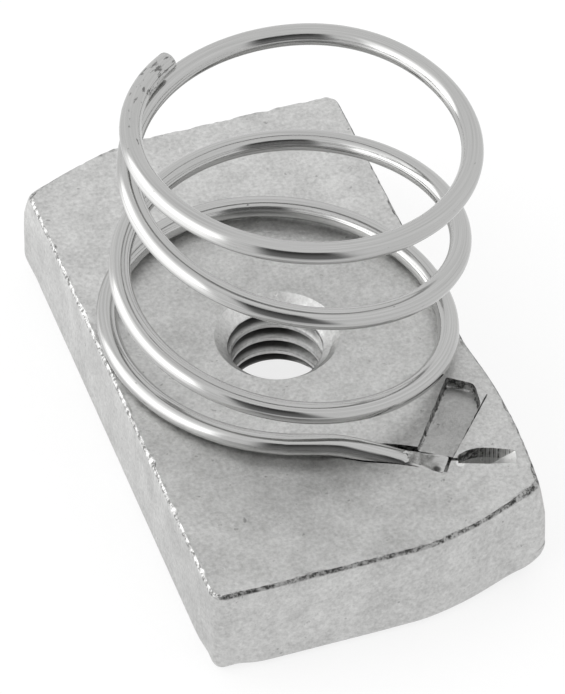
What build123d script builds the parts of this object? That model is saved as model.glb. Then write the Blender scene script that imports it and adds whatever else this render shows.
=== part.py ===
"""Strut-channel spring nut, M6, with a short coil spring staked to its top face.

Millimetres, +Z up. The origin is on the axis of the threaded hole, in the plane
of the underside (the face that grips the lips of the channel). The nut's long
side lies along Y and the spring stands on its top face.
"""
import math
import os

from build123d import *

os.makedirs("parts", exist_ok=True)

# ---------------------------------------------------------------- nut body
nut_length = 35.0          # along Y
nut_width = 19.0           # along X, passes between the lips of the channel
nut_thickness = 6.0
turning_clearance = 0.15   # how far the turning arc stands outside the ends
side_break = 0.8           # radius on the upright corners
blend_radius = 8.0         # where the turning arc runs into the flat end
underside_radius = 1.0     # rolled-over edge of the blanked plate
stake_bulge = 0.45         # long side pushed out beside the stake
bulge_start = -4.0         # where the bulge leaves the straight side, in Y

# ---------------------------------------------------------------- threaded hole
thread_minor_diameter = 5.0     # M6 x 1
thread_major_diameter = 6.0
top_chamfer = 0.55
underside_chamfer = 1.4

# ---------------------------------------------------------------- grip teeth
tooth_rows_apart = 25.0    # middle of one band of teeth to the other, in Y
tooth_pitch = 1.5          # in X
tooth_count = 9
tooth_length = 4.0         # in Y
tooth_depth = 0.45

# ---------------------------------------------------------------- spring
wire_diameter = 1.2
coil_radius = 9.0          # to the middle of the wire
foot_radius = 9.7          # where the lowest turn runs out into the tail
coil_offset_x = 0.2
coil_offset_y = -0.3
foot_height = 1.4          # middle of the lowest turn above the nut
coil_height = 13.0         # lowest turn to highest turn, along the coil's axis
lean_angle = 4.8           # the coil leans towards +X
coil_sweep = 1209.0        # degrees of winding from the tail to the free end
foot_sweep = 230.0         # nearly flat part of the lowest turn
crown_sweep = 260.0        # nearly flat part of the highest turn
easing_sweep = 60.0        # over which a flat turn becomes an open one
pitch_growth = 0.4         # open turns are wider apart towards the top
tail_angle = -17.5         # heading of the tail in plan
tail_length = 8.4
tail_dip = 17.5            # the tail runs down into the nut at this angle
tail_bend_start = 1.0      # where it turns down, from the end of the coil
tail_bend_length = 3.0
wire_seat_gap = 0.05       # all round the wire in its groove

# ---------------------------------------------------------------- stake marks
punch_length = 5.5
punch_width = 2.3
punch_depth = 0.7
punch_angle = 52.0
punch_x, punch_y = 6.8, -8.8
chisel_length = 2.9
chisel_width = 1.5
chisel_depth = 1.15
chisel_gap = 0.55          # end of the wire to the near end of the chisel cut

half_l = nut_length / 2
half_w = nut_width / 2
turn_radius = half_l + turning_clearance
wire_r = wire_diameter / 2
near = half_w / 1000       # how close two places are to count as one


# ================================================================ spring path
def ease(x):
    x = min(max(x, 0.0), 1.0)
    return x * x * (3 - 2 * x)


def winding_heights():
    """Height along the coil's axis at each degree of winding, up from the tail."""
    steps = int(coil_sweep)
    upper = coil_sweep - crown_sweep
    total, heights = 0.0, [0.0]
    for s in range(steps):
        t = min(max((s - foot_sweep) / (upper - foot_sweep), 0.0), 1.0)
        total += (ease((s - foot_sweep) / easing_sweep) * ease((upper - s) / easing_sweep)
                  * (1 + pitch_growth * t * t))
        heights.append(total)
    return [coil_height * h / total for h in heights]


heights = winding_heights()
lean = math.radians(lean_angle)
foot_centre = Vector(coil_offset_x, coil_offset_y, nut_thickness + foot_height)
axis_dir = Vector(math.sin(lean), 0, math.cos(lean))
across = Vector(math.cos(lean), 0, -math.sin(lean))
along = Vector(0, 1, 0)
foot_bearing = 270 + tail_angle     # the tail leaves the coil as a tangent


def coil_point(s):
    bearing = math.radians(foot_bearing - s)
    r = coil_radius + (foot_radius - coil_radius) * (1 - ease(s / 270))
    return (foot_centre + across * (r * math.cos(bearing)) + along * (r * math.sin(bearing))
            + axis_dir * heights[int(s)])


tail_dir = Vector(math.cos(math.radians(tail_angle)), math.sin(math.radians(tail_angle)), 0)
tail_start = coil_point(0)


def tail_point(t):
    """Point on the tail, t along it in plan from the end of the coil."""
    level = across.Z * math.cos(math.radians(tail_angle))      # slope of the lowest turn
    dip = -math.tan(math.radians(tail_dip))
    u = (t - tail_bend_start) / tail_bend_length
    turned = 0 if u < 0 else u ** 3 - u ** 4 / 2 if u < 1 else u - 0.5
    p = tail_start + tail_dir * t
    return Vector(p.X, p.Y, tail_start.Z + level * t + (dip - level) * tail_bend_length * turned)


# the wire is drawn as it is bent, from the tail up: the staked end, the bend, the
# straight that runs on to the lowest turn, and then one arc after another
tail_end, bend_out = tail_point(tail_length), tail_point(tail_bend_start + tail_bend_length)
tail_heading = tail_end - bend_out
run_heading = tail_point(tail_bend_start) - tail_start
bend_corner = tail_start + run_heading * ((tail_bend_start + tail_bend_length / 2) / tail_bend_start)
bend_in = bend_corner - run_heading.normalized() * (bend_out - bend_corner).length
arc_count = round(coil_sweep / 30)

with BuildPart() as coil_spring:
    with BuildLine() as wire_path:
        Line(tail_end, bend_out)
        TangentArc(bend_out, bend_in, tangent=bend_out - tail_end)
        last = Line(bend_in, tail_start)
        for i in range(arc_count):
            last = TangentArc(last @ 1, coil_point(coil_sweep * (i + 1) / arc_count), tangent=last % 1)
    with BuildSketch(Plane(origin=tail_end, z_dir=bend_out - tail_end)) as wire_section:
        Circle(wire_r)
    sweep(path=wire_path.line)
coil_spring.part.label = "coil_spring"

# ================================================================ nut body
with BuildPart() as nut_body:
    # plan: two square corners, and two that run on the circle the nut turns in
    arc_x = math.sqrt(turn_radius ** 2 - half_l ** 2)
    arc_y = math.sqrt(turn_radius ** 2 - half_w ** 2)
    mid = math.radians(0.5 * (math.degrees(math.atan2(half_l, arc_x)) + math.degrees(math.atan2(arc_y, half_w))))
    mid_x, mid_y = turn_radius * math.cos(mid), turn_radius * math.sin(mid)
    with BuildSketch() as plan:
        with BuildLine():
            Line((-half_w, -half_l), (arc_x, -half_l))
            ThreePointArc((arc_x, -half_l), (mid_x, -mid_y), (half_w, -arc_y))
            ThreePointArc((half_w, -arc_y), (half_w + stake_bulge, (bulge_start - arc_y) / 2), (half_w, bulge_start))
            Line((half_w, bulge_start), (half_w, half_l))
            Line((half_w, half_l), (-arc_x, half_l))
            ThreePointArc((-arc_x, half_l), (-mid_x, mid_y), (-half_w, arc_y))
            Line((-half_w, arc_y), (-half_w, -half_l))
        make_face()
        soft = [v for v in plan.vertices()
                if abs(abs(v.X) - half_w) > near or abs(v.Y - bulge_start) < near]
        fillet(soft, blend_radius)
        corners = [v for v in plan.vertices() if abs(v.X) > half_w - near
                   and min(abs(abs(v.Y) - half_l), abs(abs(v.Y) - arc_y)) < near]
        fillet(corners, side_break)
    extrude(amount=nut_thickness)
    fillet(nut_body.faces().sort_by(Axis.Z)[0].outer_wire().edges(), underside_radius)

    # threaded hole: plain bore at the minor diameter, countersunk at both ends
    Cylinder(thread_minor_diameter / 2, nut_thickness,
             align=(Align.CENTER, Align.CENTER, Align.MIN), mode=Mode.SUBTRACT)
    with Locations((0, 0, nut_thickness - top_chamfer)):
        Cone(thread_minor_diameter / 2, thread_minor_diameter / 2 + top_chamfer, top_chamfer,
             align=(Align.CENTER, Align.CENTER, Align.MIN), mode=Mode.SUBTRACT)
    Cone(thread_minor_diameter / 2 + underside_chamfer, thread_minor_diameter / 2, underside_chamfer,
         align=(Align.CENTER, Align.CENTER, Align.MIN), mode=Mode.SUBTRACT)

    # two bands of pressed V teeth that bite into the lips of the channel
    with BuildPart(mode=Mode.PRIVATE) as tooth:
        with BuildSketch(Plane.XZ):
            Polygon((-tooth_depth, 0), (tooth_depth, 0), (0, tooth_depth), align=None)
        extrude(amount=tooth_length / 2, both=True)
    with GridLocations(tooth_pitch, tooth_rows_apart, tooth_count, 2):
        add(tooth.part, mode=Mode.SUBTRACT)

    # the seat of the spring's tail, on the wire's own line
    with BuildSketch(Plane(origin=bend_out, z_dir=tail_heading)):
        Circle(wire_r + wire_seat_gap)
    extrude(amount=tail_heading.length, mode=Mode.SUBTRACT)
    with Locations(Location((tail_end.X, tail_end.Y, nut_thickness), (0, 0, tail_angle))):
        Box(chisel_gap, wire_diameter + 2 * wire_seat_gap, 2 * (nut_thickness - tail_end.Z + wire_r),
            align=(Align.MIN, Align.CENTER, Align.CENTER), mode=Mode.SUBTRACT)

    # punch mark that crowded the metal over the wire
    with Locations(Location((punch_x, punch_y, nut_thickness), (0, 0, punch_angle))):
        Box(punch_length, punch_width, 2 * punch_depth, mode=Mode.SUBTRACT)

    # chisel cut past the end of the wire, a scoop with upright sides
    scoop_radius = (chisel_length ** 2 / 4 + chisel_depth ** 2) / (2 * chisel_depth)
    scoop_at = tail_start + tail_dir * (tail_length + chisel_gap + chisel_length / 2)
    with Locations(Location((scoop_at.X, scoop_at.Y, nut_thickness - chisel_depth + scoop_radius),
                            (0, 0, tail_angle))):
        Cylinder(scoop_radius, chisel_width, rotation=(90, 0, 0), mode=Mode.SUBTRACT)
nut_body.part.label = "nut_body"

export_step(nut_body.part, "parts/nut_body.step")
export_step(coil_spring.part, "parts/coil_spring.step")
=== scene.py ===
"""M6 strut-channel nut with a coil spring staked to its top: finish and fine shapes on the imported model."""
import bpy
import bmesh
import math
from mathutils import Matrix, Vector, noise


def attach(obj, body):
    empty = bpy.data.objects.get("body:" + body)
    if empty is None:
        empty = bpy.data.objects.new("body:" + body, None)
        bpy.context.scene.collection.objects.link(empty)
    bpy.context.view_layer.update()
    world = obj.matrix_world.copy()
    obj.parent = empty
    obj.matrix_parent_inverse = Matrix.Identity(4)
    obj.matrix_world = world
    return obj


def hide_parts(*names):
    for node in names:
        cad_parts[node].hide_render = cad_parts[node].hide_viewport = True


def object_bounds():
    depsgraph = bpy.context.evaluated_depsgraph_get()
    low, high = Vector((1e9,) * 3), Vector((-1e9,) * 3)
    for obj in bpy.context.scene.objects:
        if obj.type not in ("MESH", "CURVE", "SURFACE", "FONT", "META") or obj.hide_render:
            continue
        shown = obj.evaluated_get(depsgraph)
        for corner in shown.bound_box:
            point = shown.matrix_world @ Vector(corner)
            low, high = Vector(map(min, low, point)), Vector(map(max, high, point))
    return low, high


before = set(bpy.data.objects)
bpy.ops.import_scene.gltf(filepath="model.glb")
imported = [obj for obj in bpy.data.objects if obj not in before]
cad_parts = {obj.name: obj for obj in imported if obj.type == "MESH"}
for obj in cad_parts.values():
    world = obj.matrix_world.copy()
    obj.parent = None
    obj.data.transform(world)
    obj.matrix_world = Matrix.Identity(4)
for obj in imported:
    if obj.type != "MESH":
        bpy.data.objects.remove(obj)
cad_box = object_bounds()


# ---------------------------------------------------------------- nut plate
# Blanked from 6 mm steel strip: the edge that met the die is rolled over, and the upper edge,
# where the blank broke away, keeps a thin ragged burr. The hole is tapped M6 x 1, the underside
# has pressed teeth, and a punch and a chisel have crowded the top over the spring's tail.
mm = 0.001
nut_thickness = 6.0
outline_step = 0.14         # from point to point round the plate
side_roll = 1.0             # radius of the rolled lower edge along the sides
end_roll = 0.65
corner_roll = 0.72          # and round a sharp upright corner
side_flare = 0.11           # the blank is wider below its top by this much a side
corner_draw = 0.22          # and is drawn in as far as this at a sharp corner
break_line = 5.74           # the sides are smooth up to here, and torn above
burr_height = 0.035
chip_depth = 0.1
# the blank is fuller low down where the turning arc meets the long side: the place of that
# corner, how far its foot stands out, and the radius of its rolled edge
arc_corners = ((Vector((9.5, -14.9)), Vector((0.16, -0.95)), 2.1),
               (Vector((-9.5, 14.9)), Vector((-0.16, 0.95)), 1.3))
fullness_spread = 3.2       # square of the distance over which the fullness fades
flare_depth, fullness_depth = 4.0, 1.9      # below the top, where each has come out in full

wire_radius = 0.6
wire_on_nut = 6.68          # height of the wire's middle where the lowest turn lies on the nut
tail_length = 8.45
tail_step = 0.05
tail_start = Vector((-2.40, -8.67, wire_on_nut))
tail_heading, tail_turn = -19.0, -15.0      # degrees: as it leaves the coil, and how far it curves
tail_sink = 1.08


def ease(x):
    """Rises smoothly from 0 to 1 as x does."""
    x = min(max(x, 0.0), 1.0)
    return x * x * (3 - 2 * x)


# the tail leaves the lowest turn level, curves off to the right and sinks into its groove
tail_line = [tail_start]
for step in range(round(tail_length / tail_step)):
    gone = step * tail_step
    heading = math.radians(tail_heading + tail_turn * ease((gone - 3.0) / 5.5))
    ahead = tail_line[-1] + tail_step * Vector((math.cos(heading), math.sin(heading), 0.0))
    ahead.z = wire_on_nut - tail_sink * ease((gone + tail_step - 1.9) / 5.0)
    tail_line.append(ahead)


def tail_point(t):
    """Middle of the tail's wire, t millimetres in plan from the lowest turn."""
    k = min(max(t, 0.0) / tail_step, len(tail_line) - 1.001)
    return tail_line[int(k)].lerp(tail_line[int(k) + 1], k - int(k))


def tail_way(t):
    """Heading of the tail in plan."""
    way = tail_point(t + tail_step) - tail_point(t - tail_step)
    return Vector((way.x, way.y, 0.0)).normalized()


def turned_left(loop):
    """The closed line walked anticlockwise."""
    area = sum(a.x * b.y - b.x * a.y for a, b in zip(loop, loop[1:] + loop[:1]))
    return loop if area > 0 else loop[::-1]


def outer_edge(node):
    """The outline of the node's flat top, in millimetres."""
    plain = bmesh.new()
    plain.from_mesh(node.data)
    bmesh.ops.remove_doubles(plain, verts=plain.verts, dist=1e-6)
    plain.normal_update()
    top = nut_thickness * mm

    def on_top(face):
        return face.normal.z > 0.99 and face.calc_center_median().z > top - 1e-5

    beside = {}
    for edge in plain.edges:
        if sum(on_top(f) for f in edge.link_faces) == 1:
            a, b = edge.verts
            beside.setdefault(a, []).append(b)
            beside.setdefault(b, []).append(a)
    start = min(beside, key=lambda v: v.co.y)
    walk, last, here = [start], None, start
    while True:
        after = [v for v in beside[here] if v is not last]
        last, here = here, after[0]
        if here is start:
            break
        walk.append(here)
    loop = [Vector((v.co.x, v.co.y)) / mm for v in walk]
    plain.free()
    return turned_left(loop)


def even_steps(loop, step):
    """The same closed line in equal steps, with its corners eased a little."""
    lengths = [(b - a).length for a, b in zip(loop, loop[1:] + loop[:1])]
    count = round(sum(lengths) / step)
    out, i, gone = [], 0, 0.0
    for k in range(count):
        want = sum(lengths) * k / count
        while gone + lengths[i] < want:
            gone += lengths[i]
            i += 1
        out.append(loop[i].lerp(loop[(i + 1) % len(loop)], (want - gone) / lengths[i]))
    for easing in range(3):
        out = [(out[k - 1] + 2 * out[k] + out[(k + 1) % count]) / 4 for k in range(count)]
    return out


def rough(x, y, z, size):
    """Smooth noise between about -1 and 1, with bumps of that size in millimetres."""
    return noise.noise(Vector((x, y, z)) / size)


def piece_of(shape, name):
    """An object in the scene, made from a finished shape, with its faces turned outwards."""
    bmesh.ops.recalc_face_normals(shape, faces=shape.faces)
    mesh = bpy.data.meshes.new(name)
    shape.to_mesh(mesh)
    shape.free()
    piece = bpy.data.objects.new(name, mesh)
    bpy.context.scene.collection.objects.link(piece)
    return piece


def skinned(rings, name):
    """A piece skinned over rings of points in millimetres, with a flat face at each end."""
    shape = bmesh.new()
    rows = [[shape.verts.new(p * mm) for p in ring] for ring in rings]
    count = len(rows[0])
    for low, high in zip(rows, rows[1:]):
        for k in range(count):
            n = (k + 1) % count
            shape.faces.new((low[k], low[n], high[n], high[k]))
    shape.faces.new(rows[0][::-1])
    shape.faces.new(rows[-1])
    return piece_of(shape, name)


def plate_blank():
    """The blank before its hole is made: rolled below, flared down its sides, ragged above."""
    edge = even_steps(outer_edge(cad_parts["nut_body"]), outline_step)
    count = len(edge)
    out = []
    for k in range(count):
        run = (edge[(k + 1) % count] - edge[k - 1]).normalized()
        out.append(Vector((run.y, -run.x)))
    # how sharply the outline turns at each point, spread to its neighbours
    reach = 6 * outline_step
    turn = [abs(out[(k + 3) % count].angle_signed(out[k - 3], 0.0)) / reach for k in range(count)]
    sharp = [max(turn[(k + j) % count] for j in range(-8, 9)) for k in range(count)]
    for easing in range(16):
        sharp = [(sharp[k - 1] + 2 * sharp[k] + sharp[(k + 1) % count]) / 4 for k in range(count)]
    roll, foot, full, plain, side = [], [], [], [], []
    for k in range(count):
        place, stands_out, round_foot = min(arc_corners, key=lambda c: (edge[k] - c[0]).length)
        side.append(abs(out[k].x))
        foot.append(stands_out)
        full.append(math.exp(-(edge[k] - place).length_squared / fullness_spread))
        plain.append(min(1.0, sharp[k]) * (1 - full[k]))
        straight = end_roll + (side_roll - end_roll) * side[k]
        roll.append(straight * (1 - full[k]) + round_foot * full[k])
        roll[k] -= (roll[k] - corner_roll) * plain[k]
    rings = []

    def spread(k, height):
        """How far the side stands out at a height, beyond the edge of the top."""
        low = min(1.0, max(0.0, (nut_thickness - height) / flare_depth))
        quick = min(1.0, max(0.0, (nut_thickness - height) / fullness_depth)) ** 0.7
        flare = out[k] * ((side_flare * side[k] - corner_draw * plain[k]) * low)
        return flare + foot[k] * (full[k] * (0.1 + 0.9 * quick))

    def ring(inset, height):
        rings.append([Vector((*(edge[k] + spread(k, height(k)) - out[k] * inset(k)), height(k)))
                      for k in range(count)])

    def ragged(k, seed, size):
        return rough(edge[k].x, edge[k].y, seed, size)

    def burr(k):
        return burr_height * max(0.0, 0.4 + 1.2 * ragged(k, 3.0, 1.6) + 1.3 * ragged(k, 9.0, 0.45))

    def chip(k):
        return chip_depth * max(0.0, 0.05 + 0.5 * ragged(k, 5.0, 0.9) + 0.7 * ragged(k, 7.0, 0.4))

    for step in range(9):
        lean = math.pi / 2 * step / 8
        ring(lambda k: roll[k] * (1 - math.sin(lean)) + 0.02, lambda k: roll[k] * (1 - math.cos(lean)))
    for height in (1.8, 2.6, 3.4, 4.2, 4.9, 5.3):
        ring(lambda k: 0.03 + 0.02 * ragged(k, height, 1.5), lambda k: height)
    # the broken edge is a narrow ragged slope, with a fine burr standing on it
    ring(lambda k: 0.03, lambda k: break_line + 0.04 * ragged(k, 4.0, 0.7))
    for inset, chipped_in, beneath, chipped_down, raised in ((0.05, 0.4, 0.14, 0.5, 0.0),
                                                             (0.10, 1.0, 0.05, 1.0, 0.4),
                                                             (0.16, 1.0, 0.0, 0.6, 1.0),
                                                             (0.22, 1.0, 0.0, 0.0, 0.5),
                                                             (0.30, 1.2, 0.0, 0.0, 0.0)):
        ring(lambda k: inset + chipped_in * chip(k),
             lambda k: nut_thickness - beneath - chipped_down * chip(k) + raised * burr(k))
    return skinned(rings, "nut_plate")


def threaded_plug():
    """The space inside the tapped hole: an M6 x 1 right-hand thread between two countersinks."""
    pitch, crest, root = 1.0, 2.5, 3.04
    top_countersink, under_countersink, under_slope = 0.9, 1.65, 1.1
    flat_root, flank = 0.0625, 0.3125           # half the groove's floor, and one side, in pitches
    around, per_turn = 96, 20
    low, high = -0.4, 6.4
    below = low - pitch - 0.05
    rows = []
    for k in range(round((high + pitch - below + 0.05) / pitch * per_turn)):
        row = []
        for i in range(around):
            z = below + pitch * (k / per_turn + i / around)
            off = abs((k / per_turn + 0.5) % 1.0 - 0.5)             # from the middle of the groove
            depth = 1.0 - min(1.0, max(0.0, (off - flat_root) / flank))
            z = min(max(z, low), high)
            r = max(crest + (root - crest) * depth, crest + (z - (nut_thickness - top_countersink)),
                    crest + under_slope * (under_countersink - z))
            turn = 2 * math.pi * i / around
            row.append(Vector((r * math.cos(turn), r * math.sin(turn), z)) * mm)
        rows.append(row)
    shape = bmesh.new()
    grid = [[shape.verts.new(p) for p in row] for row in rows]
    for k in range(len(grid) - 1):
        for i in range(around - 1):
            shape.faces.new((grid[k][i], grid[k][i + 1], grid[k + 1][i + 1], grid[k + 1][i]))
        above = k + per_turn                    # a row ends where the one a turn above it starts
        if above + 1 < len(grid):
            shape.faces.new((grid[k][-1], grid[above][0], grid[above + 1][0], grid[k + 1][-1]))
    bmesh.ops.remove_doubles(shape, verts=shape.verts, dist=1e-7)
    bmesh.ops.dissolve_degenerate(shape, edges=shape.edges, dist=1e-8)
    loose = [v for v in shape.verts if not v.link_faces]
    bmesh.ops.delete(shape, geom=loose, context="VERTS")
    bmesh.ops.holes_fill(shape, edges=[e for e in shape.edges if e.is_boundary])
    return piece_of(shape, "thread cutter")


def tooth_cutter():
    """Two bands of V grooves across the underside, 12.5 mm each side of the hole."""
    pitch, count, length, depth, apart, beneath = 1.5, 9, 4.0, 0.45, 25.0, -0.2
    shape = bmesh.new()
    for band in (-apart / 2, apart / 2):
        for k in range(count):
            x = (k - (count - 1) / 2) * pitch
            ends = []
            for y in (band - length / 2, band + length / 2):
                corners = ((x - depth, beneath), (x + depth, beneath), (x + depth, 0.0),
                           (x, depth), (x - depth, 0.0))
                ends.append([shape.verts.new(Vector((across, y, z)) * mm) for across, z in corners])
            for j in range(5):
                n = (j + 1) % 5
                shape.faces.new((ends[0][j], ends[0][n], ends[1][n], ends[1][j]))
            shape.faces.new(ends[0][::-1])
            shape.faces.new(ends[1])
    return piece_of(shape, "tooth cutter")


def rounded(corners, step):
    """A closed line with straight sides and a round of its own radius at each corner."""
    line = []
    count = len(corners)
    for k in range(count):
        before, here, after = (Vector(corners[j % count][:2]) for j in (k - 1, k, k + 1))
        radius = corners[k][2]
        a, b = (before - here).normalized(), (after - here).normalized()
        half = a.angle(b) / 2
        back = radius / math.tan(half)
        start, end = here + a * back, here + b * back
        parts = max(2, round(radius * (math.pi - 2 * half) / step))
        for j in range(parts + 1):
            t = j / parts
            line.append(start * (1 - t) ** 2 + here * 2 * t * (1 - t) + end * t ** 2)
    return line


def punch_cutter():
    """The blow beside the tail: a flat punch, 2.4 mm wide, that ran up on to the wire."""
    corners = ((7.57, -5.97, 0.12), (8.86, -7.0, 0.55), (8.62, -8.55, 0.7),
               (5.35, -12.35, 0.1), (3.72, -11.25, 0.1))          # x, y and the round there
    plan = turned_left(even_steps(rounded(corners, 0.12), 0.1))
    at_wire = Vector((4.5, -11.8))
    run_way = Vector((math.cos(math.radians(52.0)), math.sin(math.radians(52.0))))
    run_length, depth_at_wire, deeper_far_off = 6.0, 0.28, 0.34
    wall_top, clear_of_top = 5.9, 6.3
    count = len(plan)

    def floor_level(p):
        far = (p - at_wire).dot(run_way) / run_length
        return nut_thickness - depth_at_wire - deeper_far_off * far

    rings = []
    for inset, rise in ((0.17, 0.0), (0.10, 0.02), (0.05, 0.08), (0.025, 0.18), (0.015, None), (0.0, None)):
        ring = []
        for k, p in enumerate(plan):
            run = (plan[(k + 1) % count] - plan[k - 1]).normalized()
            shake = 0.04 * rough(p.x, p.y, inset * 9, 0.3) if inset else 0.0
            q = p + Vector((-run.y, run.x)) * (inset + shake)
            z = floor_level(q) + rise if rise is not None else wall_top if inset else clear_of_top
            ring.append(Vector((q.x, q.y, z)))
        rings.append(ring)
    return skinned(rings, "punch cutter")


def seat_cutter():
    """The groove that the wire lies in, a little wider on the side of the punch."""
    start, past_end, groove_radius, punch_side, extra, clear_of_top = 2.4, 0.25, 0.65, 0.66, 0.18, 1.2
    rings = []
    for k in range(31):
        t = start + (tail_length + past_end - start) * k / 30
        way = tail_way(min(t, tail_length - 0.1))
        side = Vector((-way.y, way.x, 0.0))
        middle = tail_point(min(t, tail_length)) + way * max(0.0, t - tail_length)
        wide = punch_side + extra * ease((t - 3.6) / 1.6)
        ring = []
        for j in range(24):
            a = 2 * math.pi * j / 24
            reach = (wide if math.cos(a) > 0 else groove_radius) * math.cos(a)
            lift = groove_radius * math.sin(a) + (clear_of_top if math.sin(a) > 0.1 else 0.0)
            ring.append(middle + side * reach + Vector((0, 0, lift)))
        rings.append(ring)
    return skinned(rings, "seat cutter")


def chisel_cutter():
    """The chisel cut past the wire's end: upright scraped walls, and a torn ramp up to the right."""
    heading = math.radians(-16.0)
    along = Vector((math.cos(heading), math.sin(heading)))
    left = Vector((-along.y, along.x))
    root = Vector((6.02, -12.02))
    length, first_depth, full_depth, ramp_start, clear_of_top, steps = 3.12, 0.55, 1.5, 1.55, 6.5, 78
    narrow, wide, widest_at = 0.22, 0.77, 1.3
    rings = []
    for k in range(steps + 1):
        a = length * k / steps
        # the far wall bows out and closes in again, and the near wall is nearly straight
        if a < widest_at:
            far = narrow + (wide - narrow) * math.sin(math.pi / 2 * a / widest_at) ** 0.7
        else:
            far = wide - 0.11 * (a - widest_at) ** 1.5
        near = -0.28 - 0.12 * min(1.0, a / 1.6)
        if a < ramp_start:
            depth = first_depth + (full_depth - first_depth) * ease(a / 0.8)
            step_up = 0.0
        else:
            depth = full_depth * (1 - (a - ramp_start) / (length - ramp_start)) + 0.02
            step_up = 0.10 * rough(a, 0.0, 6.0, 0.35) * min(1.0, depth)
        far += 0.016 * rough(a, 0.0, 4.0, 0.07) + 0.012 * rough(a, 0.0, 8.0, 0.2)
        near += 0.02 * rough(a, 5.0, 4.0, 0.15)
        p, q = root + along * a + left * far, root + along * a + left * near
        low = nut_thickness - depth
        rings.append([Vector((*q, low + 0.05 + step_up)), Vector((*((p + q) / 2), low - step_up)),
                      Vector((*p, low + 0.03)), Vector((*(p + left * 0.04), clear_of_top)),
                      Vector((*q, clear_of_top))])
    return skinned(rings, "chisel cutter")


def nick_cutter(start, end, half_width, depth):
    """A fine nick in the top, deepest where it starts."""
    a, b = Vector(start), Vector(end)
    side = Vector((-(b - a).y, (b - a).x)).normalized() * half_width
    clear_of_top = nut_thickness + 0.1
    ends = []
    for p, deep in ((a, depth), (b, 0.03)):
        ends.append([Vector((*(p - side), clear_of_top)), Vector((*(p - side * 0.6), nut_thickness)),
                     Vector((*p, nut_thickness - deep)), Vector((*(p + side * 0.6), nut_thickness)),
                     Vector((*(p + side), clear_of_top))])
    return skinned(ends, "nick cutter")


nut_plate = plate_blank()
cutters = [threaded_plug(), tooth_cutter(), punch_cutter(), seat_cutter(), chisel_cutter(),
           # the punch's side has torn a fine line, which runs out towards the long side
           nick_cutter((5.72, -11.88), (9.2, -7.95), 0.07, 0.2),
           # the wire's end has left a nick, and the chisel a slit beside it
           nick_cutter((4.45, -12.2), (4.95, -12.62), 0.17, 0.35),
           nick_cutter((5.55, -11.85), (6.3, -12.1), 0.17, 0.45)]
for cutter in cutters:
    cut = nut_plate.modifiers.new(cutter.name, "BOOLEAN")
    cut.operation = "DIFFERENCE"
    cut.solver = "MANIFOLD"
    cut.object = cutter
machined = nut_plate.evaluated_get(bpy.context.evaluated_depsgraph_get())
finished = bpy.data.meshes.new_from_object(machined)
nut_plate.modifiers.clear()
nut_plate.data = finished
for cutter in cutters:
    bpy.data.objects.remove(cutter)
finished.shade_smooth()
finished.set_sharp_from_angle(angle=math.radians(32))
for face in finished.polygons:
    level = nut_thickness * mm if face.normal.z > 0 else 0.0
    if abs(face.normal.z) > 0.9999 and abs(face.center.z - level) < 1e-6:
        face.use_smooth = False


def linear(code):
    """One sRGB hex colour as the linear values a shader takes."""
    parts = [int(code[i:i + 2], 16) / 255 for i in (1, 3, 5)]
    return [c / 12.92 if c <= 0.04045 else ((c + 0.055) / 1.055) ** 2.4 for c in parts] + [1.0]


def add(tree, kind, values=None):
    """Adds one node. A socket among its values is linked, the rest is set on an input or the node."""
    node = tree.nodes.new(kind)
    for key, value in (values or {}).items():
        if isinstance(value, bpy.types.NodeSocket):
            tree.links.new(value, node.inputs[key])
        elif isinstance(key, int) or key in node.inputs:
            node.inputs[key].default_value = value
        else:
            setattr(node, key, value)
    return node


def lay_finishes(tree, colour, roughness, finishes):
    """Lays local finishes over a metal. Each has its colour, its strength, its roughness or None for
    the metal's own, and the fades that place it: a measure, where it is 0, where it is 1, and how
    much of the finish stays where the fade is 0, if any does."""
    for paint, strength, matt, fades in finishes:
        share = strength
        for measure, start, end, *least in fades:
            fade = add(tree, "ShaderNodeMapRange", {"Value": measure, "From Min": start, "From Max": end,
                                                    "To Min": least[0] if least else 0.0})
            share = add(tree, "ShaderNodeMath", {"operation": "MULTIPLY", 0: share,
                                                 1: fade.outputs["Result"]}).outputs[0]
        over = linear(paint) if isinstance(paint, str) else paint
        colour = add(tree, "ShaderNodeMix", {"data_type": "RGBA", 0: share, 6: colour,
                                             7: over}).outputs[2]
        if matt is not None:
            roughness = add(tree, "ShaderNodeMix", {"data_type": "FLOAT", 0: share, 2: roughness,
                                                    3: matt}).outputs[0]
    return colour, roughness


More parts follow.
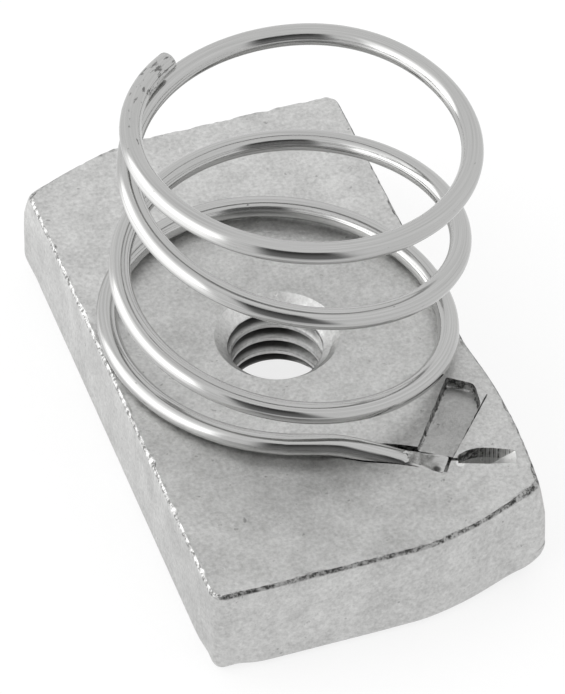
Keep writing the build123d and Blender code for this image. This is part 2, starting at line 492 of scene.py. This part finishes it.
def zinc_over_blanked_steel():
    # Bright zinc plate follows the tumbled steel under it: satin, with a fine grain, clouds, dimples and
    # pits. Where the steel was torn or turned, it carries painted shade and painted highlights in patches.
    mat = bpy.data.materials.new("bright zinc plate over blanked steel")
    mat.use_nodes = True
    tree = mat.node_tree
    tree.nodes.clear()
    place = add(tree, "ShaderNodeTexCoord").outputs["Object"]
    x, y, z = add(tree, "ShaderNodeSeparateXYZ", {0: place}).outputs
    flat = add(tree, "ShaderNodeVectorMath", {"operation": "MULTIPLY", 0: place, 1: (1, 1, 0)})
    radius = add(tree, "ShaderNodeVectorMath", {"operation": "LENGTH", 0: flat.outputs[0]}).outputs["Value"]
    facing = add(tree, "ShaderNodeNewGeometry").outputs["Normal"]
    facing_x, facing_y, facing_z = add(tree, "ShaderNodeSeparateXYZ", {0: facing}).outputs
    # a painted highlight on the sliver that the chisel turned up beside its cut
    sliver_highlight_place = (6.05 * mm, -12.33 * mm, 6.0 * mm)
    sliver_highlight = add(tree, "ShaderNodeVectorMath", {"operation": "DISTANCE", 0: place, 1: sliver_highlight_place})
    pattern = {}
    for name, per_mm, detail, roughness in (("clouds", 0.5, 5.0, 0.65),         # 2 mm across
                                            ("grain", 4.2, 3.0, 0.7),           # 0.2 mm
                                            ("dimples", 1.7, 2.0, 0.5),         # 0.6 mm
                                            ("pits", 2.1, 3.0, 0.6),            # 0.3 mm, few
                                            ("crumbs", 3.6, 3.0, 0.75)):        # 0.3 mm, torn edges
        pattern[name] = add(tree, "ShaderNodeTexNoise", {
            "Vector": place, "Scale": per_mm / mm, "Detail": detail, "Roughness": roughness}).outputs["Fac"]

    # the plate's own tint goes with the grain and the clouds
    both = add(tree, "ShaderNodeMath", {"operation": "MULTIPLY_ADD", 0: pattern["grain"], 1: 1.3,
                                        2: pattern["clouds"]})
    shade = add(tree, "ShaderNodeMapRange", {"Value": both.outputs[0], "From Min": 0.8, "From Max": 1.5})
    tint = add(tree, "ShaderNodeMix", {"data_type": "RGBA", 0: shade.outputs["Result"],
                                       6: linear("#B7B7B6"), 7: linear("#E0E0DF")})
    satin = add(tree, "ShaderNodeMapRange", {"Value": pattern["clouds"], "From Min": 0.3, "From Max": 0.7,
                                             "To Min": 0.36, "To Max": 0.48})
    # torn steel has painted shade between its crumbs, and a painted highlight on the side facing -X, towards
    # the window
    crumbs = add(tree, "ShaderNodeMapRange", {"Value": pattern["crumbs"], "From Min": 0.4, "From Max": 0.6})
    crumb_shade, bright = (add(tree, "ShaderNodeMix", {"data_type": "RGBA", 0: crumbs.outputs["Result"],
                                                6: linear(low), 7: linear(high)}).outputs[2]
                    for low, high in (("#444443", "#B4B4B3"), ("#6E6E6D", "#DCDCDB")))
    rub_marks_and_window_highlight = add(tree, "ShaderNodeMapRange", {"Value": facing_x, "From Min": 0.1, "From Max": -0.5})
    torn = add(tree, "ShaderNodeMix", {"data_type": "RGBA", 0: rub_marks_and_window_highlight.outputs["Result"], 6: crumb_shade,
                                       7: bright}).outputs[2]
    tilted = (facing_z, 0.985, 0.93)
    edge = 0.001 * mm                           # a fade this narrow is a plain limit
    colour, roughness = lay_finishes(tree, tint.outputs[2], satin.outputs["Result"], (
        # pits
        ("#5E5E5D", 0.6, None, ((pattern["pits"], 0.66, 0.76),)),
        # the broken edge round the top, with painted shade and a painted highlight
        (torn, 1.0, None, ((z, break_line * mm, (break_line + 0.1) * mm),
                           (radius, 4.5 * mm, 4.5 * mm + edge), tilted)),
        # painted shade in the thread, deepest in its roots and left off the side facing -X, towards the
        # window
        ("#585857", 1.0, None, ((radius, 3.2 * mm + edge, 3.2 * mm), (z, 5.3 * mm, 5.15 * mm),
                                (facing_x, -0.5, -0.2), (radius, 2.54 * mm, 2.75 * mm, 0.25))),
        # the struck floor beside the tail
        ("#969695", 0.3, None, ((z, 5.9 * mm, 5.8 * mm), (facing_z, 0.9499, 0.9501))),
        # painted shade, crumbled, on the walls of the stake marks
        (crumb_shade, 1.0, None, ((z, 5.3 * mm, 5.3 * mm + edge), (x, 3.4 * mm, 3.4 * mm + edge),
                           (x, 9.15 * mm + edge, 9.15 * mm), (y, -13.9 * mm, -13.9 * mm + edge),
                           (y, -5.5 * mm + edge, -5.5 * mm), tilted)),
        # the turned countersink: a painted highlight in patches on the side facing -Y
        ("#F2F2F1", 1.0, 0.45, ((z, 5.22 * mm, 5.22 * mm + edge), (radius, 3.56 * mm + edge, 3.56 * mm),
                                tilted, (facing_y, -0.4, -0.62), (pattern["crumbs"], 0.4, 0.6, 0.5))),
        # painted highlights: on the ramp that the chisel tore, where it faces -X towards the window, and on
        # the sliver that it turned up beside its cut
        ("#F2F2F1", 1.0, 0.45, ((x, 6.5 * mm, 6.5 * mm + edge), (y, -10.5 * mm + edge, -10.5 * mm),
                                (z, 5.99 * mm + edge, 5.99 * mm), (facing_x, -0.3, -0.5))),
        ("#F2F2F1", 1.0, 0.45, ((sliver_highlight.outputs["Value"], 0.27 * mm, 0.2 * mm),))))
    pits = add(tree, "ShaderNodeMapRange", {"Value": pattern["pits"], "From Min": 0.66, "From Max": 0.76})
    relief = {}
    for height, strength, depth, sunk in ((pattern["grain"], 0.9, 0.028, False),
                                          (pattern["dimples"], 0.6, 0.03, False),
                                          (pits.outputs["Result"], 0.5, 0.05, True)):
        bump = add(tree, "ShaderNodeBump", {"Height": height, "Strength": strength, "Distance": depth * mm,
                                            "invert": sunk, **relief})
        relief = {"Normal": bump.outputs["Normal"]}
    metal = add(tree, "ShaderNodeBsdfPrincipled", {"Metallic": 1.0, "Base Color": colour,
                                                   "Roughness": roughness, **relief})
    add(tree, "ShaderNodeOutputMaterial", {"Surface": metal.outputs[0]})
    return mat


nut_plate.data.materials.clear()
nut_plate.data.materials.append(zinc_over_blanked_steel())
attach(nut_plate, "root")
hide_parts("nut_body")


# ---------------------------------------------------------------- coil spring
# One length of 1.2 mm spring wire, drawn through a die, coiled cold and zinc plated. The free end
# is sheared, and the tail runs down into the nut, where the punch has flattened its end.
coil_sweep = 1209           # degrees of winding from the tail to the free end
foot_sweep, crown_sweep, easing_sweep = 230.0, 260.0, 60.0
coil_height, pitch_growth = 13.0, 0.4
foot_radius, coil_radius, foot_bearing = 9.7, 9.0, 252.5
lean = math.radians(4.8)
foot_centre = Vector((0.2, -0.3, 7.4))
settle_way = Vector((0.31, 0.95, -1.0))         # as far back as it goes down
settled_sweep, lifting_sweep = 170.0, 80.0      # how much of the lowest turn lies on the nut
wire_facets, coil_steps, tail_steps = 24, 900, 56
thinning = 0.982            # keeps the plated wire inside the solid's box
flattened_from, flattened_spread, flattened_top = 6.3, 0.12, 6.06


def winding_heights():
    """Height along the coil's axis at each degree of winding, up from the tail."""
    upper, total, heights = coil_sweep - crown_sweep, 0.0, [0.0]
    for s in range(coil_sweep):
        t = min(max((s - foot_sweep) / (upper - foot_sweep), 0.0), 1.0)
        total += (ease((s - foot_sweep) / easing_sweep) * ease((upper - s) / easing_sweep)
                  * (1 + pitch_growth * t * t))
        heights.append(total)
    return [coil_height * h / total for h in heights]


heights = winding_heights()


def coil_point(s):
    """Middle of the wire at s degrees of winding, before the lowest turn is pressed down."""
    bearing = math.radians(foot_bearing - s)
    r = coil_radius + (foot_radius - coil_radius) * (1 - ease(s / 270))
    whole = min(int(s), coil_sweep - 1)
    h = heights[whole] + (heights[whole + 1] - heights[whole]) * (s - whole)
    return (foot_centre + Vector((math.cos(lean), 0, -math.sin(lean))) * (r * math.cos(bearing))
            + Vector((0, 1, 0)) * (r * math.sin(bearing)) + Vector((math.sin(lean), 0, math.cos(lean))) * h)


def settled(s):
    """The lowest turn is pressed flat on to the nut, which pushes it back and over by as much."""
    p = coil_point(s)
    return p + settle_way * (max(0.0, p.z - wire_on_nut) * (1 - ease((s - settled_sweep) / lifting_sweep)))


def drawn_wire():
    """The whole wire from the free end to the tail's end, with a map of its length and its girth."""
    line = [settled(coil_sweep * (1 - k / coil_steps)) for k in range(coil_steps)]
    line += [tail_point(tail_length * k / tail_steps) for k in range(tail_steps + 1)]
    shape = bmesh.new()
    uv = shape.loops.layers.uv.new("along and around, mm")
    rings, gone, lengths = [], 0.0, []
    for k, p in enumerate(line):
        if k:
            gone += (p - line[k - 1]).length
        lengths.append(gone)
        ahead = (line[min(k + 1, len(line) - 1)] - line[max(k - 1, 0)]).normalized()
        side = ahead.cross(Vector((0, 0, 1))).normalized()
        up = side.cross(ahead)
        r = wire_radius * (thinning + 0.003 * rough(gone, 0.0, 2.0, 1.5))
        past = tail_length * (k - coil_steps) / tail_steps - flattened_from
        ring = []
        for j in range(wire_facets):
            a = 2 * math.pi * j / wire_facets
            q = p + side * (r * math.cos(a)) + up * (r * math.sin(a))
            if past > 0:                        # flattened and spread by the punch
                q += side * (math.cos(a) * flattened_spread * ease(past / 1.5))
                flat = flattened_top - 0.09 * past + 0.02 * rough(q.x, q.y, 0.0, 0.4)
                if q.z > flat:
                    q.z = flat + 0.03 * (q.z - flat)
            ring.append(q)
        rings.append(ring)
    # the sheared end: cut square, with its edge rounded over by the blade
    first, heading = rings[0], (line[0] - line[1]).normalized()
    for shrink, ahead in ((0.97, 0.05), (0.88, 0.10), (0.7, 0.13)):
        rings.insert(0, [line[0] + (q - line[0]) * shrink + heading * ahead for q in first])
        lengths.insert(0, -ahead)
    last, heading = rings[-1], (line[-1] - line[-2]).normalized()
    for shrink, ahead in ((0.97, 0.03), (0.85, 0.06)):
        rings.append([line[-1] + (q - line[-1]) * shrink + heading * ahead for q in last])
        lengths.append(gone + ahead)
    rows = [[shape.verts.new(q * mm) for q in ring] for ring in rings]
    arc = 2 * math.pi * wire_radius / wire_facets
    for k in range(len(rows) - 1):
        for j in range(wire_facets):
            n = (j + 1) % wire_facets
            face = shape.faces.new((rows[k][j], rows[k][n], rows[k + 1][n], rows[k + 1][j]))
            for loop, place in zip(face.loops, ((k, j), (k, j + 1), (k + 1, j + 1), (k + 1, j))):
                loop[uv].uv = (lengths[place[0]], place[1] * arc)
    for row in (rows[0], rows[-1]):
        face = shape.faces.new(row)
        for loop in face.loops:
            loop[uv].uv = (loop.vert.co.x / mm, loop.vert.co.y / mm)
    piece = piece_of(shape, "spring_wire")
    piece.data.shade_smooth()
    piece.data.set_sharp_from_angle(angle=math.radians(38))
    return piece


def zinc_over_drawn_wire():
    # The die leaves fine lines along the wire, which the thin bright plate follows, so it mirrors the
    # room in long streaks. A few dark marks show where the coiling tool and the shear rubbed it.
    mat = bpy.data.materials.new("bright zinc plate over drawn spring wire")
    mat.use_nodes = True
    tree = mat.node_tree
    tree.nodes.clear()
    place = add(tree, "ShaderNodeTexCoord").outputs["Object"]
    flat = add(tree, "ShaderNodeUVMap", {"uv_map": "along and around, mm"}).outputs["UV"]
    # the lines are 8 mm long and 0.1 mm wide, the clouds 1.2 mm across, the marks 0.9 by 0.4 mm
    stretched = add(tree, "ShaderNodeMapping", {"Vector": flat, "Scale": (0.12, 9.0, 1.0)})
    lines = add(tree, "ShaderNodeTexNoise", {"Vector": stretched.outputs["Vector"], "Scale": 1.0,
                                             "Detail": 3.0, "Roughness": 0.6}).outputs["Fac"]
    clouds = add(tree, "ShaderNodeTexNoise", {"Vector": place, "Scale": 0.8 / mm, "Detail": 3.0,
                                              "Roughness": 0.6}).outputs["Fac"]
    rub_marks_and_window_highlight = add(tree, "ShaderNodeMapping", {"Vector": flat, "Scale": (1.1, 2.6, 1.0)})
    marks = add(tree, "ShaderNodeTexNoise", {"Vector": rub_marks_and_window_highlight.outputs["Vector"], "Scale": 1.0,
                                             "Detail": 3.0, "Roughness": 0.65}).outputs["Fac"]
    # the marks crowd together over the last 9 mm of the free end
    run = add(tree, "ShaderNodeSeparateXYZ", {0: flat}).outputs["X"]
    sheared = add(tree, "ShaderNodeMapRange", {"Value": run, "From Min": 9.5, "From Max": 1.5,
                                               "To Max": 0.17}).outputs["Result"]
    worn = add(tree, "ShaderNodeMath", {"operation": "ADD", 0: marks, 1: sheared}).outputs[0]
    tint = add(tree, "ShaderNodeMix", {"data_type": "RGBA", 0: lines, 6: linear("#A4A4A3"),
                                       7: linear("#D2D2D1")}).outputs[2]
    gloss = add(tree, "ShaderNodeMapRange", {"Value": clouds, "From Min": 0.3, "From Max": 0.7,
                                             "To Min": 0.08, "To Max": 0.17}).outputs["Result"]
    # where a painted shade spot stands for the punch's bite
    bite_shade_place = (4.76 * mm, -12.24 * mm, 5.95 * mm)
    bite_shade = add(tree, "ShaderNodeVectorMath", {"operation": "DISTANCE", 0: place, 1: bite_shade_place})
    colour, gloss = lay_finishes(tree, tint, gloss, (
        # rub marks
        ("#4A4A49", 0.75, None, ((worn, 0.70, 0.76),)),
        # painted shade: a dark spot for the hollow that the punch's corner has bitten into the flattened end
        ("#4A4A49", 0.9, None, ((bite_shade.outputs["Value"], 0.28 * mm, 0.14 * mm),))))
    bump = add(tree, "ShaderNodeBump", {"Height": lines, "Strength": 0.35, "Distance": 0.01 * mm})
    metal = add(tree, "ShaderNodeBsdfPrincipled", {"Metallic": 1.0, "Base Color": colour,
                                                   "Roughness": gloss, "Normal": bump.outputs["Normal"]})
    add(tree, "ShaderNodeOutputMaterial", {"Surface": metal.outputs[0]})
    return mat


spring_wire = drawn_wire()
spring_wire.data.materials.append(zinc_over_drawn_wire())
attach(spring_wire, "root")
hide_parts("coil_spring")


# ---------------------------------------------------------------- bench and light
# A white sheet under the part in a white room, with a bright window low on the left and a dark
# doorway in front, which the bright wire picks up as a light and a dark streak.
window_bearing, doorway_bearing = -80.0, -165.0         # degrees from +Y, clockwise
half_size = 3.0
corners = [(-half_size, -half_size, 0), (half_size, -half_size, 0),
           (half_size, half_size, 0), (-half_size, half_size, 0)]
sheet_mesh = bpy.data.meshes.new("white_sheet")
sheet_mesh.from_pydata(corners, [], [(0, 1, 2, 3)])
sheet = bpy.data.objects.new("white_sheet", sheet_mesh)
bpy.context.scene.collection.objects.link(sheet)
sheet.location.z = cad_box[0][2] - 0.02 * mm


def sector(tree, way, bearing, inner, outer, measure, start, end):
    """1 within inner degrees of a bearing and past the end of a measure, falling smoothly to 0."""
    level = add(tree, "ShaderNodeVectorMath", {"operation": "MULTIPLY", 0: way, 1: (1, 1, 0)})
    unit = add(tree, "ShaderNodeVectorMath", {"operation": "NORMALIZE", 0: level.outputs[0]})
    middle = (math.sin(math.radians(bearing)), math.cos(math.radians(bearing)), 0)
    near = add(tree, "ShaderNodeVectorMath", {"operation": "DOT_PRODUCT", 0: unit.outputs[0], 1: middle})
    beyond, within = math.cos(math.radians(outer)), math.cos(math.radians(inner))
    share = 1.0
    for source, low, high in ((measure, start, end), (near.outputs["Value"], beyond, within)):
        fade = add(tree, "ShaderNodeMapRange", {"interpolation_type": "SMOOTHSTEP", "Value": source,
                                                "From Min": low, "From Max": high})
        share = add(tree, "ShaderNodeMath", {"operation": "MULTIPLY", 0: share,
                                             1: fade.outputs["Result"]}).outputs[0]
    return share


def white_paper():
    # Matt white paper, lit enough to look white. Polished metal sees it brighter beside the window
    # and in shade before the doorway, and the part's own shadow stays on it.
    mat = bpy.data.materials.new("white paper")
    mat.use_nodes = True
    tree = mat.node_tree
    tree.nodes.clear()
    ray = add(tree, "ShaderNodeLightPath").outputs
    spot = add(tree, "ShaderNodeTexCoord").outputs["Object"]
    away = add(tree, "ShaderNodeVectorMath", {"operation": "LENGTH", 0: spot}).outputs["Value"]
    mirrored = 0.92
    for level, area in ((1.9, sector(tree, spot, window_bearing, 26, 46, away, 15 * mm, 40 * mm)),
                        (0.12, sector(tree, spot, doorway_bearing, 17, 30, away, 25 * mm, 75 * mm))):
        mirrored = add(tree, "ShaderNodeMix", {"data_type": "FLOAT", 0: area, 2: mirrored,
                                               3: level}).outputs[0]
    glossy = ray["Is Glossy Ray"]
    strength = add(tree, "ShaderNodeMix", {"data_type": "FLOAT", 0: glossy, 2: 1.08,
                                           3: mirrored}).outputs[0]
    seen = add(tree, "ShaderNodeMath", {"operation": "MAXIMUM", 0: ray["Is Camera Ray"],
                                        1: ray["Is Transmission Ray"]}).outputs[0]
    seen = add(tree, "ShaderNodeMath", {"operation": "MULTIPLY", 0: seen, 1: 0.7}).outputs[0]
    share = add(tree, "ShaderNodeMix", {"data_type": "FLOAT", 0: glossy, 2: seen, 3: 0.9}).outputs[0]
    matt = add(tree, "ShaderNodeBsdfDiffuse", {"Color": linear("#F4F4F4")})
    glow = add(tree, "ShaderNodeEmission", {"Color": (1, 1, 1, 1), "Strength": strength})
    both = add(tree, "ShaderNodeMixShader", {0: share, 1: matt.outputs[0], 2: glow.outputs[0]})
    add(tree, "ShaderNodeOutputMaterial", {"Surface": both.outputs[0]})
    return mat


sheet_mesh.materials.append(white_paper())

room = bpy.data.worlds.new("white room")
bpy.context.scene.world = room
room.use_nodes = True
room_tree = room.node_tree
room_tree.nodes.clear()
sky = add(room_tree, "ShaderNodeTexCoord").outputs["Generated"]
rise = add(room_tree, "ShaderNodeSeparateXYZ", {0: sky}).outputs["Z"]
sine = {height: math.sin(math.radians(height)) for height in (12, 44, 48, 68)}
# the window fades out from 12 to 68 degrees up, and the doorway ends at 44 to 48
window = sector(room_tree, sky, window_bearing, 30, 44, rise, sine[68], sine[12])
doorway = sector(room_tree, sky, doorway_bearing, 17, 30, rise, sine[48], sine[44])
gloom = add(room_tree, "ShaderNodeMapRange", {"interpolation_type": "SMOOTHSTEP", "Value": rise,
                                              "From Min": 0.0, "From Max": sine[44],
                                              "To Min": 0.2, "To Max": 0.05}).outputs["Result"]
walls = 0.93
for level, area in ((2.8, window), (gloom, doorway)):
    walls = add(room_tree, "ShaderNodeMix", {"data_type": "FLOAT", 0: area, 2: walls, 3: level}).outputs[0]
light = add(room_tree, "ShaderNodeBackground", {"Color": (1, 1, 1, 1), "Strength": walls})
add(room_tree, "ShaderNodeOutputWorld", {"Surface": light.outputs[0]})


# ---------------------------------------------------------------- viewpoint
# A long lens looks down over the near left corner of the nut from about 0.3 m.
camera_data = bpy.data.cameras.new("long lens")
camera = bpy.data.objects.new("long lens", camera_data)
bpy.context.scene.collection.objects.link(camera)
bpy.context.scene.camera = camera
view_turn, view_height, view_distance = math.radians(-19.0), math.radians(44.6), 302.5 * mm
aim = Vector((1.12, 2.31, 2.58)) * mm
away = Vector((math.sin(view_turn) * math.cos(view_height),
               -math.cos(view_turn) * math.cos(view_height), math.sin(view_height)))
camera.location = aim + away * view_distance
camera.rotation_euler = away.to_track_quat("Z", "Y").to_euler()
camera_data.sensor_fit = "VERTICAL"
camera_data.sensor_height = 24.0
camera_data.lens = 190.2
camera_data.clip_start = 0.01
camera_data.clip_end = 10.0

bpy.context.scene.view_settings.view_transform = "Standard"
